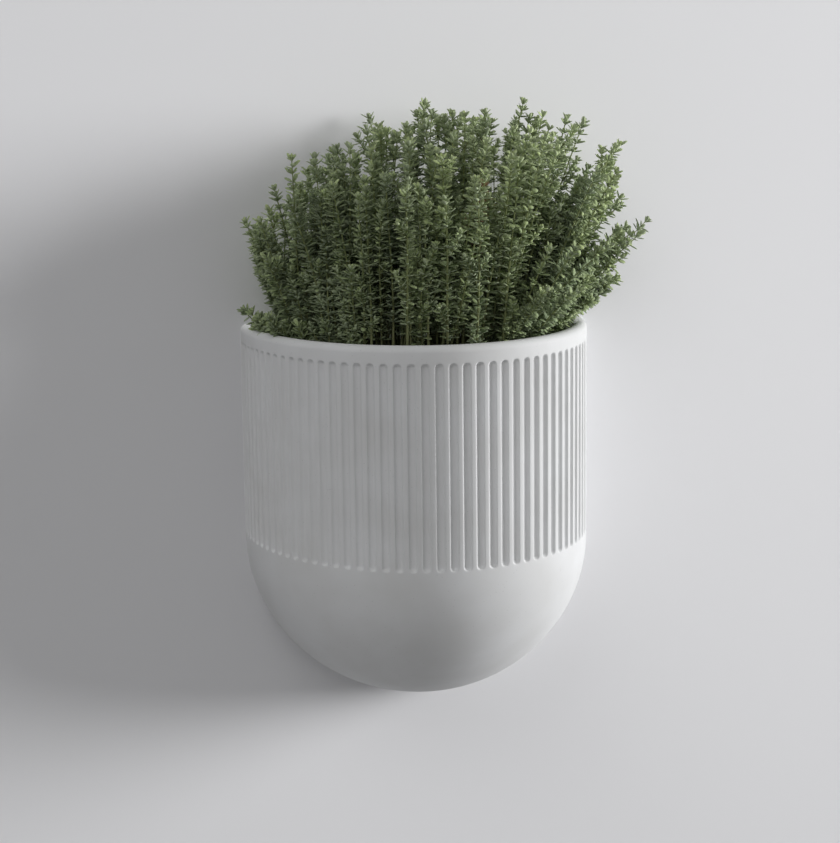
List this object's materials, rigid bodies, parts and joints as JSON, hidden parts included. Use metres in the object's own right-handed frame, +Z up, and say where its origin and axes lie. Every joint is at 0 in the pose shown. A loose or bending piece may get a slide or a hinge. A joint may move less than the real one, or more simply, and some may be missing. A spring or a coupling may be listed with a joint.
{
  "type": "wall planter",
  "caption": "Half-round fluted ceramic wall planter with a domed bottom, a lift-out liner and a bushy thyme planting, hung on keyholes.",
  "frame": {"origin": "on the wall plane, midway between the entry holes of the two keyholes", "axes": "+X to the right as seen from the room, +Y into the wall, +Z up"},
  "size_m": [0.1892, 0.1325, 0.2849],
  "materials": {
    "ceramic": "matt",
    "liner_plastic": "satin",
    "fired_clay": "rough",
    "soil": "rough",
    "root_plug": "rough",
    "thyme_leaf": "matt",
    "dry_leaf": "matt",
    "screw_steel": "zinc plated",
    "plug_plastic": "moulded"
  },
  "bodies": {
    "wall_fixings": {"screw_left": "screw_steel", "screw_right": "screw_steel", "wall_plug_left": "plug_plastic", "wall_plug_right": "plug_plastic"},
    "pot": {"pot_shell": "ceramic"},
    "insert": {"liner": "liner_plastic", "drainage_pebbles": "fired_clay", "potting_soil": "soil", "root_plug_back_left": "root_plug", "root_plug_back_middle": "root_plug", "root_plug_back_right": "root_plug", "root_plug_front_left": "root_plug", "root_plug_front_right": "root_plug", "thyme_back_left": "thyme_leaf", "thyme_back_middle": "thyme_leaf", "thyme_back_right": "thyme_leaf", "thyme_front_left": "thyme_leaf", "thyme_front_right": "thyme_leaf", "dry_sprig": "dry_leaf"}
  },
  "joints": [
    {"name": "planter_lift", "type": "slide", "parent": "wall_fixings", "child": "pot", "axis": [0, 0, 1], "range_m": [0, 0.0094]},
    {"name": "insert_lift_out", "type": "slide", "parent": "pot", "child": "insert", "axis": [0, 0, 1], "range_m": [0, 0.15]}
  ]
}
